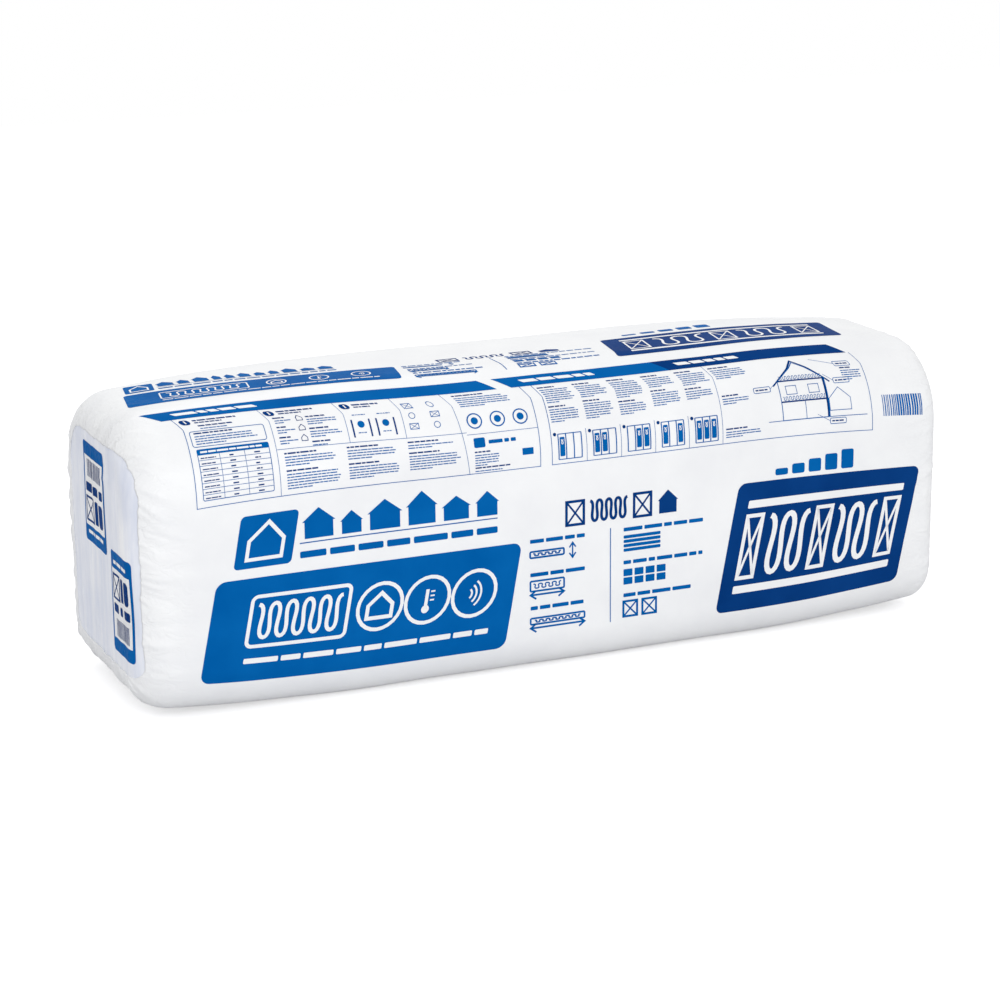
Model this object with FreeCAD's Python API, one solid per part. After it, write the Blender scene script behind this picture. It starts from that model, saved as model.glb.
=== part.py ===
"""A film-wrapped pack of kraft-faced glass wool batts, each folded in half and stood on edge.

Frame: origin at the centre of the pack's footprint. X runs along the batts, from their cut ends
(-X, the left end) to their folds (+X, the right end). Y runs through the stack, with the front
face at -Y. Z is up, along the width of the batts.
"""
import FreeCAD, Part
import math
import os

# The batts as they lie in the pack, mm
BATT_COUNT = 9
FOLDED_LENGTH = 1184.0     # half of a 2362 mm (93 in) batt, and its fold
PACKED_WIDTH = 408.4       # a 381 mm (15 in) batt, bulged by the squeeze at mid-length
LEAF_THICKNESS = 18.0      # one leaf of a folded batt, 165 mm (6.5 in) thick when let out
FOLD_RADIUS = 10.0         # outer corners of the fold
PAPER_THICKNESS = 1.0      # stand-in for 0.2 mm kraft paper
PAPER_GAP = 0.6            # between the two leaves of the folded paper
BATT_GAP = 0.3             # between one batt and the next

# The film round them
FILM_THICKNESS = 1.0       # stand-in for 0.1 mm polyethylene
CLEARANCE = 0.3            # between film and film, film and wool, paper and wool
TOP_RADIUS = 111.0         # the long edges of the pack
BOTTOM_RADIUS = 60.0
LEFT_END_RADIUS = 52.0     # the edges round each end
RIGHT_END_RADIUS = 28.0

# The pack is straight at mid-length and drawn in by the film towards both ends
STRAIGHT_LENGTH = 500.0
TOP_DROP = 21.5            # of the end faces, from the height at mid-length
BOTTOM_LIFT = 14.5
SIDE_PULL = 9.5

# The opening that the sleeve leaves at each end, and the panel that closes it
OPENING_FRONT = 25.0       # from the pack's front at mid-length
OPENING_BACK = 64.0        # from its back
OPENING_TOP = 59.0
OPENING_BOTTOM = 62.0
OPENING_TOP_RADIUS = 58.0
OPENING_BOTTOM_RADIUS = 20.0
PANEL_OVERLAP = 8.0        # how far the panel runs on under the sleeve's edge

LARGEST_END_FILLET = 0.9   # of the smallest radius of the long edges, which the end fillet meets

# Worked out from the above
paper_half_width = PAPER_GAP / 2 + PAPER_THICKNESS
slit_half_width = paper_half_width + CLEARANCE
batt_depth = 2 * (LEAF_THICKNESS + slit_half_width)
batt_pitch = batt_depth + BATT_GAP
stack_depth = BATT_COUNT * batt_pitch - BATT_GAP
side_inset = FILM_THICKNESS + CLEARANCE
end_inset = 2 * side_inset
pack_length = FOLDED_LENGTH + 2 * end_inset
pack_depth = stack_depth + 2 * side_inset
pack_height = PACKED_WIDTH + 2 * side_inset


def front_plane(x, z):
    """A point of the pack seen from the front, behind all of it."""
    return FreeCAD.Vector(x, pack_depth, z)


def top_plane(x, y):
    """A point of the pack seen from above, under all of it."""
    return FreeCAD.Vector(x, y, -pack_height)


def line(start, end):
    return Part.LineSegment(start, end).toShape()


def drawn_in_side(half_length, level, draw):
    """Three points of one long side, at +X: its end, its arc's middle and its arc's start.

    The side is straight at mid-length, and from there an arc moves it by draw at its end.
    """
    run = half_length - STRAIGHT_LENGTH / 2
    radius = (run ** 2 + draw ** 2) / (2 * abs(draw))
    half_turn = math.asin(run / radius) / 2
    rise = math.copysign(radius * (1 - math.cos(half_turn)), draw)
    middle = (STRAIGHT_LENGTH / 2 + radius * math.sin(half_turn), level + rise)
    return (half_length, level + draw), middle, (STRAIGHT_LENGTH / 2, level)


def profile_prism(half_length, low, high, low_draw, high_draw, place, along):
    """A prism of the pack's outline as seen from one side, both long sides drawn in at their ends."""
    low_side = drawn_in_side(half_length, low, low_draw)
    high_side = drawn_in_side(half_length, high, -high_draw)
    right_low, right_high, left_low, left_high = (
        [place(sign * x, level) for x, level in side]
        for sign in (1, -1) for side in (low_side, high_side)
    )
    edges = [
        line(left_low[2], right_low[2]),
        Part.Arc(right_low[2], right_low[1], right_low[0]).toShape(),
        line(right_low[0], right_high[0]),
        Part.Arc(right_high[0], right_high[1], right_high[2]).toShape(),
        line(right_high[2], left_high[2]),
        Part.Arc(left_high[2], left_high[1], left_high[0]).toShape(),
        line(left_high[0], left_low[0]),
        Part.Arc(left_low[0], left_low[1], left_low[2]).toShape(),
    ]
    return Part.Face(Part.Wire(edges)).extrude(along)


def long_corners(shape, inset, above):
    """The edges along the front and back of the shape, at its top (above) or its bottom."""
    furthest = pack_depth / 2 - inset - SIDE_PULL
    return [
        edge for edge in shape.Edges
        if edge.BoundBox.XLength > 1
        and (edge.BoundBox.ZMin > pack_height / 2 if above else edge.BoundBox.ZMax < pack_height / 2)
        and max(abs(edge.BoundBox.YMin), abs(edge.BoundBox.YMax)) > furthest
    ]


def end_rim(shape, x):
    """The edges round the flat end face at x."""
    return [edge for edge in shape.Edges
            if edge.BoundBox.XLength < 0.01 and abs(edge.BoundBox.XMin - x) < 0.01]


def pack_shape(inset, end):
    """The pack's outer shape, pulled in by inset on its long faces and by end at its two ends."""
    half_length = pack_length / 2 - end
    half_depth = pack_depth / 2 - inset
    seen_from_front = profile_prism(
        half_length, inset, pack_height - inset, BOTTOM_LIFT, TOP_DROP,
        front_plane, FreeCAD.Vector(0, -2 * pack_depth, 0),
    )
    seen_from_above = profile_prism(
        half_length, -half_depth, half_depth, SIDE_PULL, SIDE_PULL,
        top_plane, FreeCAD.Vector(0, 0, 3 * pack_height),
    )
    shape = seen_from_front.common(seen_from_above)
    shape = shape.makeFillet(TOP_RADIUS - inset, long_corners(shape, inset, True))
    shape = shape.makeFillet(BOTTOM_RADIUS - inset, long_corners(shape, inset, False))
    limit = LARGEST_END_FILLET * (min(BOTTOM_RADIUS, TOP_RADIUS) - inset)
    for x, radius in ((-half_length, LEFT_END_RADIUS), (half_length, RIGHT_END_RADIUS)):
        shape = shape.makeFillet(min(radius - inset, limit), end_rim(shape, x))
    return shape


def corner_arc(x, y, z, radius, side, into):
    """The arc that rounds the corner (y, z) of an upright outline.

    side is the sign of y at the corner, and into is 1 at a bottom corner and -1 at a top one.
    """
    centre_y = y - side * radius
    centre_z = z + into * radius
    slant = radius * 0.5 ** 0.5
    on_level_side = FreeCAD.Vector(x, centre_y, z)
    on_upright_side = FreeCAD.Vector(x, y, centre_z)
    middle = FreeCAD.Vector(x, centre_y + side * slant, centre_z - into * slant)
    if side == into:
        return Part.Arc(on_level_side, middle, on_upright_side)
    return Part.Arc(on_upright_side, middle, on_level_side)


def arched_prism(start, end, front, back, low, high, low_radius, high_radius):
    """A prism along X whose section is an upright rectangle, rounded more at its top corners."""
    arcs = [
        corner_arc(start, back, low, low_radius, 1, 1),
        corner_arc(start, back, high, high_radius, 1, -1),
        corner_arc(start, front, high, high_radius, -1, -1),
        corner_arc(start, front, low, low_radius, -1, 1),
    ]
    edges = []
    for arc, following in zip(arcs, arcs[1:] + arcs[:1]):
        edges.append(arc.toShape())
        edges.append(line(arc.EndPoint, following.StartPoint))
    return Part.Face(Part.Wire(edges)).extrude(FreeCAD.Vector(end - start, 0, 0))


def end_prism(side, margin):
    """A prism through one end (side -1 or 1), the opening's outline let out by margin."""
    reach = LEFT_END_RADIUS if side < 0 else RIGHT_END_RADIUS
    inner = side * (pack_length / 2 - reach)
    return arched_prism(
        inner, inner + side * 2 * reach,
        OPENING_FRONT - pack_depth / 2 - margin, pack_depth / 2 - OPENING_BACK + margin,
        OPENING_BOTTOM - margin, pack_height - OPENING_TOP + margin,
        OPENING_BOTTOM_RADIUS + margin, OPENING_TOP_RADIUS + margin,
    )


def film_sleeve():
    """The printed film round the long faces, drawn over the edges of both ends."""
    shape = pack_shape(0, 0).cut(pack_shape(FILM_THICKNESS, FILM_THICKNESS))
    for side in (-1, 1):
        shape = shape.cut(end_prism(side, 0))
    return shape


def end_panels():
    """The plain film across each end, under the sleeve's edge: left, then right."""
    under_sleeve = pack_shape(side_inset, side_inset)
    over_batts = pack_shape(side_inset, side_inset + FILM_THICKNESS)
    space = under_sleeve.cut(over_batts)
    return [space.common(end_prism(side, PANEL_OVERLAP)) for side in (-1, 1)]


def folded_prism(start, end, half_width, radius, middle):
    """An upright prism about the plane y = middle, its +X corners rounded to radius."""
    straight = end - radius
    slant = radius * (1 - 0.5 ** 0.5)
    near = middle - half_width
    far = middle + half_width
    point = FreeCAD.Vector
    near_start = point(start, near, 0)
    far_start = point(start, far, 0)
    near_arc = Part.Arc(
        point(straight, near, 0), point(end - slant, near + slant, 0), point(end, near + radius, 0))
    far_arc = Part.Arc(
        point(end, far - radius, 0), point(end - slant, far - slant, 0), point(straight, far, 0))
    edges = [line(near_start, near_arc.StartPoint), near_arc.toShape()]
    if half_width > radius:
        edges.append(line(near_arc.EndPoint, far_arc.StartPoint))
    edges += [far_arc.toShape(), line(far_arc.EndPoint, far_start), line(far_start, near_start)]
    return Part.Face(Part.Wire(edges)).extrude(point(0, 0, pack_height))


def batt_middle(index):
    """Where the slit of a folded batt lies along Y, counted from the front."""
    return -stack_depth / 2 + batt_depth / 2 + index * batt_pitch


def glass_wool(index, stack):
    """One batt's wool: two leaves joined by the fold at +X, with the slit for the paper."""
    middle = batt_middle(index)
    fold = FOLDED_LENGTH / 2
    slit_end = fold - LEAF_THICKNESS
    block = folded_prism(-fold, fold, batt_depth / 2, FOLD_RADIUS, middle)
    slit = folded_prism(-fold - CLEARANCE, slit_end, slit_half_width, slit_half_width, middle)
    return block.common(stack).cut(slit)


def kraft_facing(index, stack):
    """One batt's paper: a sheet on the inner side of both leaves, folded with them."""
    middle = batt_middle(index)
    start = -FOLDED_LENGTH / 2
    fold = FOLDED_LENGTH / 2 - LEAF_THICKNESS - CLEARANCE
    half_gap = PAPER_GAP / 2
    outer = folded_prism(start, fold, paper_half_width, paper_half_width, middle)
    inner = folded_prism(start - CLEARANCE, fold - PAPER_THICKNESS, half_gap, half_gap, middle)
    return outer.cut(inner).common(stack)


def save(name, shape):
    """Write one node, and print what it holds."""
    shape.exportStep("parts/" + name + ".step")
    print(name, "solids", len(shape.Solids), "valid", shape.isValid(), "cm3", round(shape.Volume / 1000, 1))


def main():
    os.makedirs("parts", exist_ok=True)
    print("pack", round(pack_length, 1), round(pack_depth, 1), round(pack_height, 1))
    save("film_sleeve", film_sleeve())
    left_panel, right_panel = end_panels()
    save("end_panel_left", left_panel)
    save("end_panel_right", right_panel)
    stack = pack_shape(side_inset, end_inset)
    for index in range(BATT_COUNT):
        save("batt_%d" % (index + 1), glass_wool(index, stack))
        save("facing_%d" % (index + 1), kraft_facing(index, stack))


main()
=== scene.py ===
# The looks of a film-wrapped pack of kraft-faced glass wool batts: its puckered film sleeve, the
# film across each end, and a generic print in two blues. All sizes are in metres.
import math

import bpy
import numpy as np
from mathutils import Matrix, Vector


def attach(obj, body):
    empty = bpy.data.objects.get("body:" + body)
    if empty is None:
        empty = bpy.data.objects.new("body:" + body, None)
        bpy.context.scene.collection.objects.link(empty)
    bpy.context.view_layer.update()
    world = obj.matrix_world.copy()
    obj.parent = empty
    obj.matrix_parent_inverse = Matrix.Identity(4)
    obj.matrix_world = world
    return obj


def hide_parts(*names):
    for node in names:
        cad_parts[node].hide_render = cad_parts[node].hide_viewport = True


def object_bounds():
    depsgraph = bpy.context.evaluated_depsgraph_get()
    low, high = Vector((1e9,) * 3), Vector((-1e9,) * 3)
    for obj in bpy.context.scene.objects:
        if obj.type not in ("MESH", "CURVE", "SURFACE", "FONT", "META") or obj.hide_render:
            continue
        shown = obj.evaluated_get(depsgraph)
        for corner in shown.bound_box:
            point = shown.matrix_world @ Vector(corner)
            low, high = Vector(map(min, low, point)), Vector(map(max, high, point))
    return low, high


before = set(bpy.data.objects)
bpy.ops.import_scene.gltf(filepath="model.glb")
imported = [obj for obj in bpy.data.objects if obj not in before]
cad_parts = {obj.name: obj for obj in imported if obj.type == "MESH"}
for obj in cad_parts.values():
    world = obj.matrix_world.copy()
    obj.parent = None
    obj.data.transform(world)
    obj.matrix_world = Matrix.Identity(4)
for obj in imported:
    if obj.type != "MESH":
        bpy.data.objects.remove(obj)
cad_low, cad_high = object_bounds()
seeded = np.random.default_rng

# The pack, as its CAD part has it. Its box comes from the frame.
HALF_LENGTH = (cad_high.x - cad_low.x) / 2
HALF_DEPTH = (cad_high.y - cad_low.y) / 2
HEIGHT = cad_high.z - cad_low.z
TOP_RADIUS = 0.111
BOTTOM_RADIUS = 0.060
END_RADIUS = {-1: 0.052, 1: 0.028}      # side -1 is the left end, 1 the right one
HALF_STRAIGHT = 0.250
TOP_DROP = 0.0215
BOTTOM_LIFT = 0.0145
SIDE_PULL = 0.0095
OPENING = (-HALF_DEPTH + 0.025, HALF_DEPTH - 0.064, 0.062, HEIGHT - 0.059)
OPENING_LOW_RADIUS = 0.020
OPENING_HIGH_RADIUS = 0.058
PANEL_OVERLAP = 0.008

# Round the girth, from the lower edge of the front face, up and over the top to the back
FRONT_RUN = HEIGHT - TOP_RADIUS - BOTTOM_RADIUS
TOP_RUN = 2 * (HALF_DEPTH - TOP_RADIUS)
BOTTOM_RUN = 2 * (HALF_DEPTH - BOTTOM_RADIUS)
TOP_TURN = TOP_RADIUS * math.pi / 2
BOTTOM_TURN = BOTTOM_RADIUS * math.pi / 2
GIRTH = 2 * (FRONT_RUN + TOP_TURN + BOTTOM_TURN) + TOP_RUN + BOTTOM_RUN
BACK_SUM = BOTTOM_RADIUS + 2 * (FRONT_RUN + TOP_TURN) + TOP_RUN + BOTTOM_RADIUS
SEAM_V = BACK_SUM - 0.110 - GIRTH        # the film's long seam, low on the back

# The film's grid
BODY_COLUMNS = 360
END_COLUMNS = 2 * BODY_COLUMNS
BODY_ROWS = 56
END_ROWS = 50
BODY_REACH = 0.420                       # half the length of the plain middle grid
GRID_MARGIN = 0.020
FILM_LIFT = 0.0003                       # of the film above the CAD surface
PANEL_STEP = 0.0022
HEM_DEPTH = 0.0014
PANEL_SINK = 0.0004                      # of the end film's rim below the sleeve
PANEL_RIM = 0.016                        # over which the end film's relief grows to full height
FILM_FLOOR = 0.0002                      # the film's lowest height above the floor
UV_REACH = 0.64                          # half of the film's length, a little more than it spans
MEETING_COSINE = 0.996                   # of the turn where the end rounding meets the long edges
SMALLEST_CORNER = 0.003


def waves(seed, count, shortest, longest):
    """Seeded plane waves in space: their wave vectors and phases."""
    random = seeded(seed)
    heading = random.normal(size=(count, 3))
    heading /= np.linalg.norm(heading, axis=1, keepdims=True)
    length = random.uniform(shortest, longest, count)
    return heading * (2 * math.pi / length)[:, None], random.uniform(0, 2 * math.pi, count)


def unevenness(point, field):
    """A soft random height in about -1..1 at points in space."""
    vectors, phases = field
    total = np.zeros(point.shape[:-1])
    for vector, phase in zip(vectors, phases):
        total += np.sin(point @ vector + phase)
    return total / math.sqrt(len(phases))


def smooth_step(value):
    value = np.clip(value, 0, 1)
    return value * value * (3 - 2 * value)


def drawn_in(x, half_length, draw):
    """How far a long side is drawn in at x, on its arc from the straight middle to the end."""
    run = half_length - HALF_STRAIGHT
    radius = (run ** 2 + draw ** 2) / (2 * draw)
    along = np.clip(np.abs(x) - HALF_STRAIGHT, 0, run)
    return radius - np.sqrt(radius ** 2 - along ** 2)


def rounding(radius, draw):
    """A long side's end rounding: the depth of its centre, and the cosine where it starts."""
    run = HALF_LENGTH - HALF_STRAIGHT
    bend = (run ** 2 + draw ** 2) / (2 * draw)
    cosine = np.sqrt(1 - ((run - radius) / (bend - radius)) ** 2)
    return bend - (bend - radius) * cosine, cosine


def end_profile(s):
    """At s along the film: x, the end's radius, the cosine of its turn, the flat after it."""
    radius = np.where(s < 0, END_RADIUS[-1], END_RADIUS[1])
    reach = np.abs(s) - (HALF_LENGTH - radius)
    turn = np.clip(reach / radius, 0, math.pi / 2)
    flat = np.clip(reach - radius * math.pi / 2, 0, None)
    x = np.where(reach > 0, HALF_LENGTH - radius + radius * np.sin(turn), np.abs(s))
    return np.where(s < 0, -x, x), radius, np.cos(turn), flat


def side_inset(x, radius, cosine, flat, draw):
    """How far in a long side lies, from its level at mid-length."""
    depth, meeting = rounding(radius, draw)
    rounded = depth - radius * cosine + flat
    return np.where(cosine > meeting, drawn_in(x, HALF_LENGTH, draw), rounded)


def film_base(s, v):
    """A point of the pack's smooth surface: s along the film from mid-length, v round the girth."""
    s, v = np.broadcast_arrays(s, v)
    x, radius, cosine, flat = end_profile(s)
    half = HALF_DEPTH - side_inset(x, radius, cosine, flat, SIDE_PULL)
    low = side_inset(x, radius, cosine, flat, BOTTOM_LIFT)
    high = HEIGHT - side_inset(x, radius, cosine, flat, TOP_DROP)
    shrink = radius * np.clip(MEETING_COSINE - cosine, 0, None) + flat
    low_radius = np.maximum(BOTTOM_RADIUS - shrink, SMALLEST_CORNER)
    high_radius = TOP_RADIUS - shrink
    rise_run = high - high_radius - low - low_radius
    runs = (FRONT_RUN, TOP_TURN, TOP_RUN, TOP_TURN, FRONT_RUN)
    runs += (BOTTOM_TURN, BOTTOM_RUN, BOTTOM_TURN)
    place = (v - BOTTOM_RADIUS) % GIRTH
    y = np.zeros(s.shape)
    z = np.zeros(s.shape)
    for index, run in enumerate(runs):
        share = np.clip(place / run, 0, 1)
        here = (place >= 0) & (place <= run)
        turn = share * math.pi / 2
        rise, fall = np.sin(turn), np.cos(turn)
        if index == 0:
            points = -half, low + low_radius + share * rise_run
        elif index == 1:
            points = -half + high_radius * (1 - fall), high - high_radius * (1 - rise)
        elif index == 2:
            points = (2 * share - 1) * (half - high_radius), high
        elif index == 3:
            points = half - high_radius * (1 - rise), high - high_radius * (1 - fall)
        elif index == 4:
            points = half, high - high_radius - share * rise_run
        elif index == 5:
            points = half - low_radius * (1 - fall), low + low_radius * (1 - rise)
        elif index == 6:
            points = (1 - 2 * share) * (half - low_radius), low
        else:
            points = -half + low_radius * (1 - rise), low + low_radius * (1 - fall)
        y = np.where(here, points[0], y)
        z = np.where(here, points[1], z)
        place = place - run
    return np.stack([x, y, z], axis=-1)


def film_normal(s, v, step=0.0004):
    along = film_base(s + step, v) - film_base(s - step, v)
    across = film_base(s, v + step) - film_base(s, v - step)
    normal = np.cross(along, across)
    return normal / np.linalg.norm(normal, axis=-1, keepdims=True)


def opening_distance(point):
    """How far a point is outside the end opening's outline, below 0 inside it."""
    y, z = point[..., 1], point[..., 2]
    return outside_of(y, z, OPENING, OPENING_LOW_RADIUS, OPENING_HIGH_RADIUS)


def outside_of(y, z, box, low_radius, high_radius):
    """How far (y, z) is outside a rounded rectangle, below 0 inside it."""
    front, back, low, high = box
    y = y - (front + back) / 2
    z = z - (low + high) / 2
    radius = np.where(z > 0, high_radius, low_radius)
    beside = np.abs(y) - (back - front) / 2 + radius
    above = np.abs(z) - (high - low) / 2 + radius
    outside = np.hypot(np.maximum(beside, 0), np.maximum(above, 0))
    return outside + np.minimum(np.maximum(beside, above), 0) - radius


def found_edge(side, v):
    """Where the film crosses the opening's outline, along s, by halving."""
    near = np.full(v.shape, HALF_LENGTH - END_RADIUS[side])
    far = near + 0.120
    for _ in range(24):
        middle = (near + far) / 2
        inside = opening_distance(film_base(side * middle, v)) < 0
        far = np.where(inside, middle, far)
        near = np.where(inside, near, middle)
    return far


def wavy_edge(side):
    """The sleeve's edge at one end: places round the girth, and the film's reach at each."""
    random = seeded(40 + side)
    v = np.linspace(0, GIRTH, END_COLUMNS + 1)
    wander = np.zeros(v.shape)
    for count in range(7, 46, 3):
        size = 0.0006 * random.uniform(0.4, 1.0) / math.sqrt(count / 9)
        wander += size * np.sin(2 * math.pi * count * v / GIRTH + random.uniform(0, 2 * math.pi))
    return v, found_edge(side, v) + wander


EDGES = {side: wavy_edge(side) for side in (-1, 1)}


def edge_reach(side, v):
    places, reach = EDGES[side]
    return np.interp(v % GIRTH, places, reach)


GOLDEN_SHARE = 0.6180339887              # steps that spread puckers evenly round the girth


def pucker_field(side):
    """Seeded puckers that run in from the sleeve's edge: short gathers, then long tension folds."""
    random = seeded(70 + side)
    short_count, long_count = 150, 30
    count = short_count + long_count
    is_short = np.arange(count) < short_count
    spots = np.arange(count) * GOLDEN_SHARE + random.uniform(-0.01, 0.01, count)
    centre = spots % 1 * GIRTH

    def drawn(kind, short, long):
        return np.where(is_short, kind(*short, count), kind(*long, count))

    width = drawn(random.uniform, (0.0022, 0.0058), (0.006, 0.012))
    length = drawn(random.uniform, (0.014, 0.060), (0.070, 0.130))
    height = drawn(random.uniform, (0.0004, 0.0023), (0.0004, 0.0011))
    height *= np.where(random.uniform(size=count) < 0.25, -0.5, 1)
    slant = drawn(random.normal, (-0.45, 0.28), (-0.15, 0.20))
    return list(zip(centre, width, length, height, slant))


PUCKERS = {side: pucker_field(side) for side in (-1, 1)}
BROAD_WAVES = waves(11, 18, 0.16, 0.42)
SMALL_WAVES = waves(12, 20, 0.055, 0.12)
LIP_WAVES = waves(13, 16, 0.024, 0.070)


def gathers(side, s, v):
    """Height of the puckers and the raised lip at one end."""
    from_edge = np.clip(edge_reach(side, v) - side * s, 0, None)
    height = np.zeros(from_edge.shape)
    for centre, width, length, size, slant in PUCKERS[side]:
        along = from_edge / length
        spread = width * (1 + 1.3 * along)
        across = (v - centre - slant * from_edge + GIRTH / 2) % GIRTH - GIRTH / 2
        ridge = (across / spread) ** 2
        height += size * (1 - 0.8 * ridge) * np.exp(-ridge - along ** 2)
    return height, from_edge


BROAD_HEIGHT = 0.00042
SMALL_HEIGHT = 0.00014
LIP_REACH = 0.0045                       # of the raised lip, in from the sleeve's edge
RIM_REACH = 0.012                        # where the puckers lie flatter, by the edge
PUCKER_REACH = 0.200                     # where the puckers have died out
PUCKER_FADE = 0.060
RIGHT_SHARE = 0.55                       # of the puckers' height at the right end
DEEPEST = -0.0009
SOFTNESS = 0.0003                        # of the limit to how deep the film may lie


def film_height(s, v, base):
    """The film's height above the smooth surface."""
    height = BROAD_HEIGHT * unevenness(base, BROAD_WAVES)
    height += SMALL_HEIGHT * unevenness(base, SMALL_WAVES)
    s, v = np.broadcast_arrays(s, v)
    for side in (-1, 1):
        near = side * s > BODY_REACH - GRID_MARGIN
        if near.any():
            puckered, from_edge = gathers(side, s[near], v[near])
            lip = 0.5 + 0.5 * unevenness(base[near], LIP_WAVES)
            low_edge = smooth_step(1 - (base[near][:, 2] - 0.060) / 0.030)
            lip = 0.0001 + np.clip(lip, 0.05, 1.6) * (0.0001 + 0.0018 * low_edge)
            lip *= np.exp(-(from_edge / LIP_REACH) ** 2)
            rim = np.exp(-(from_edge / RIM_REACH) ** 2)
            fade = smooth_step((PUCKER_REACH - from_edge) / PUCKER_FADE)
            fade *= 1.0 if side < 0 else RIGHT_SHARE
            far = smooth_step(base[near][:, 1] / 0.060) if side < 0 else 1.0
            fade *= 1 - (0.30 + 0.45 * far) * rim
            total = height[near] + fade * puckered + lip
            floor = DEEPEST + 0.0007 * rim
            height[near] = floor + np.logaddexp(0, (total - floor) / SOFTNESS) * SOFTNESS
    return height


def film_point(s, v, lift):
    """A point of the finished film, lift above it."""
    base = film_base(s, v)
    height = FILM_LIFT + film_height(s, v, base) + lift
    point = base + film_normal(s, v) * height[..., None]
    point[..., 2] = np.maximum(point[..., 2], FILM_FLOOR + lift)
    return point


def panel_point(side, y, z, lift):
    """A point of the plain film across one end, which follows the pack's rounded edge."""
    y, z = np.broadcast_arrays(y, z)
    radius = END_RADIUS[side]
    half = HALF_DEPTH - rounding(radius, SIDE_PULL)[0]
    low, high = rounding(radius, BOTTOM_LIFT)[0], HEIGHT - rounding(radius, TOP_DROP)[0]
    end_face = (-half, half, low, high)
    shrink = radius * MEETING_COSINE
    outside = outside_of(y, z, end_face, BOTTOM_RADIUS - shrink, TOP_RADIUS - shrink)
    x = HALF_LENGTH - radius + np.sqrt(radius ** 2 - np.clip(outside, 0, radius) ** 2)
    flat = np.stack([side * x, y, z], axis=-1)
    rim = smooth_step(-opening_distance(flat) / PANEL_RIM)
    x = x - PANEL_SINK + rim * panel_height(side, y, z) + lift
    return np.stack([side * x, y, z], axis=-1)


PANEL_WAVES = waves(21, 14, 0.050, 0.160)
PANEL_RIPPLES = waves(22, 14, 0.012, 0.028)


def panel_creases(side):
    """Seeded creases of an end film: a point, a direction, a half length, a width and a height."""
    random = seeded(90 + side)
    creases = []
    for index in range(26):
        upright = index < 15
        heading = random.normal(math.pi / 2 if upright else 0, 0.16)
        spot = [random.uniform(-0.130, 0.130), random.uniform(0.080, 0.330), heading]
        ranges = ((0.020, 0.070), (0.0036, 0.0070), (-0.0007, 0.0010))
        creases.append(spot + [random.uniform(*limits) for limits in ranges])
    return creases


CREASES = {side: panel_creases(side) for side in (-1, 1)}


def panel_height(side, y, z):
    """The end film's folds: upright ripples over the leaves of wool, and a few creases."""
    point = np.stack([np.zeros(y.shape), y, 0.22 * z], axis=-1)
    height = 0.00030 * unevenness(point, PANEL_RIPPLES)
    point = np.stack([np.full(y.shape, side * 1.0), y, z], axis=-1)
    height += 0.00045 * unevenness(point, PANEL_WAVES)
    for crease_y, crease_z, heading, reach, width, size in CREASES[side]:
        along = (y - crease_y) * math.cos(heading) + (z - crease_z) * math.sin(heading)
        across = (z - crease_z) * math.cos(heading) - (y - crease_y) * math.sin(heading)
        height += size * np.exp(-(along / reach) ** 4 - (across / width) ** 2)
    return np.clip(height, -0.0011, 0.0016)


# Meshes

def new_object(name, data):
    """An object in the scene, with its data."""
    made = bpy.data.objects.new(name, data)
    bpy.context.scene.collection.objects.link(made)
    return made


def made_piece(name, points, faces, uvs, material):
    """A smooth mesh piece, one UV pair for each of its points."""
    mesh = bpy.data.meshes.new(name)
    mesh.from_pydata(points.tolist(), [], faces)
    loops = np.zeros(len(mesh.loops), int)
    mesh.loops.foreach_get("vertex_index", loops)
    layer = mesh.uv_layers.new(name="OFBake")
    layer.data.foreach_set("uv", uvs[loops].astype(np.float32).ravel())
    mesh.polygons.foreach_set("use_smooth", np.ones(len(mesh.polygons), bool))
    mesh.materials.append(material)
    mesh.update()
    piece = new_object(name, mesh)
    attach(piece, "root")
    return piece


def grid_faces(rows, columns, first=0):
    """The four-sided faces of a grid whose points run along its columns."""
    index = first + np.arange(rows * columns).reshape(rows, columns)
    corners = [index[:-1, :-1], index[1:, :-1], index[1:, 1:], index[:-1, 1:]]
    return np.stack(corners, axis=-1).reshape(-1, 4).tolist()


def film_uv(s, v):
    """The film's flat pattern as UV, with v counted from the seam."""
    return np.stack([(s + UV_REACH) / (2 * UV_REACH), (v - SEAM_V) / GIRTH], axis=-1)


def end_rows(side):
    """Rows of the sleeve's grid from its plain middle out to one edge."""
    share = np.linspace(0, 1, END_ROWS)[:, None]
    share = share + 0.35 * share * (1 - share)
    v = np.linspace(SEAM_V, SEAM_V + GIRTH, END_COLUMNS + 1)[None, :]
    s = side * (BODY_REACH + (edge_reach(side, v) - BODY_REACH) * share)
    return s, np.broadcast_to(v, s.shape)


def hem(side, s, v, points):
    """Rows that turn the sleeve's edge in under itself."""
    depth = (HEM_DEPTH + film_height(s, v, film_base(s, v)))[..., None]
    inward = -film_normal(s, v) * depth
    back = film_point(s - side * 0.003, v, 0.0) - points
    back /= np.linalg.norm(back, axis=-1, keepdims=True)
    return np.stack([points + inward * 0.55 + back * 0.0001, points + inward + back * 0.0022])


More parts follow.
